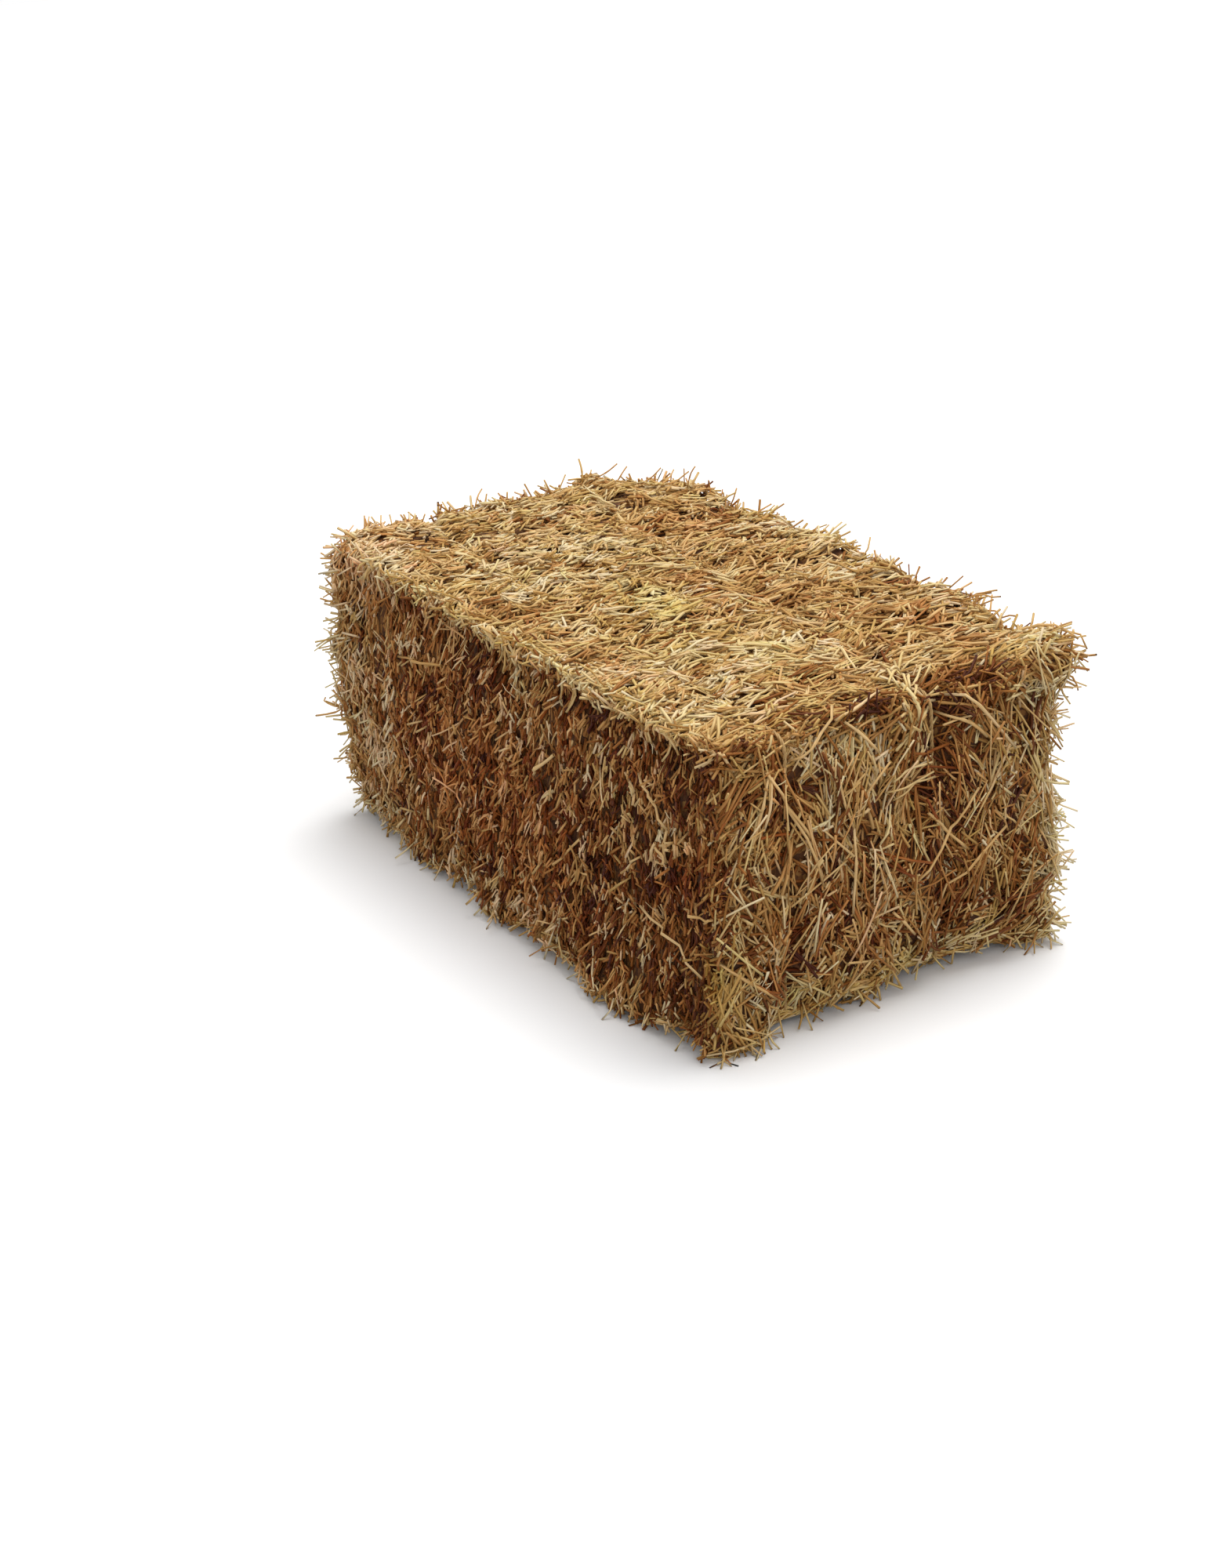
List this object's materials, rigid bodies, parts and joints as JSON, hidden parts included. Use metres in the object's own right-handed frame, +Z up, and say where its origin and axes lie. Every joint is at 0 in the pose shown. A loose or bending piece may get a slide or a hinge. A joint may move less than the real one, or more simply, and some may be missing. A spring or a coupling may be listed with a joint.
{
  "type": "straw bale",
  "caption": "Small rectangular bale of cereal straw: a row of pressed flakes held by twine loops sunk in the straw, with a shaggy surface of loose straw ends.",
  "frame": {"origin": "on the ground under the middle flake, at the centre of the bale's flat foot", "axes": "+X along the bale towards the near end, +Y across it, +Z up"},
  "size_m": [0.8358, 0.5586, 0.3957],
  "materials": {
    "straw": "dry pressed cereal straw, golden outside and darker in the gaps",
    "twine": "coarse twisted sisal baler twine"
  },
  "bodies": {
    "root": {"flake_01": "straw", "flake_02": "straw", "flake_03": "straw", "flake_04": "straw", "flake_05": "straw", "flake_06": "straw", "flake_07": "straw", "flake_08": "straw", "flake_09": "straw", "flake_10": "straw", "flake_11": "straw", "flake_12": "straw", "flake_13": "straw", "twine_left": "twine", "twine_right": "twine"}
  },
  "joints": []
}
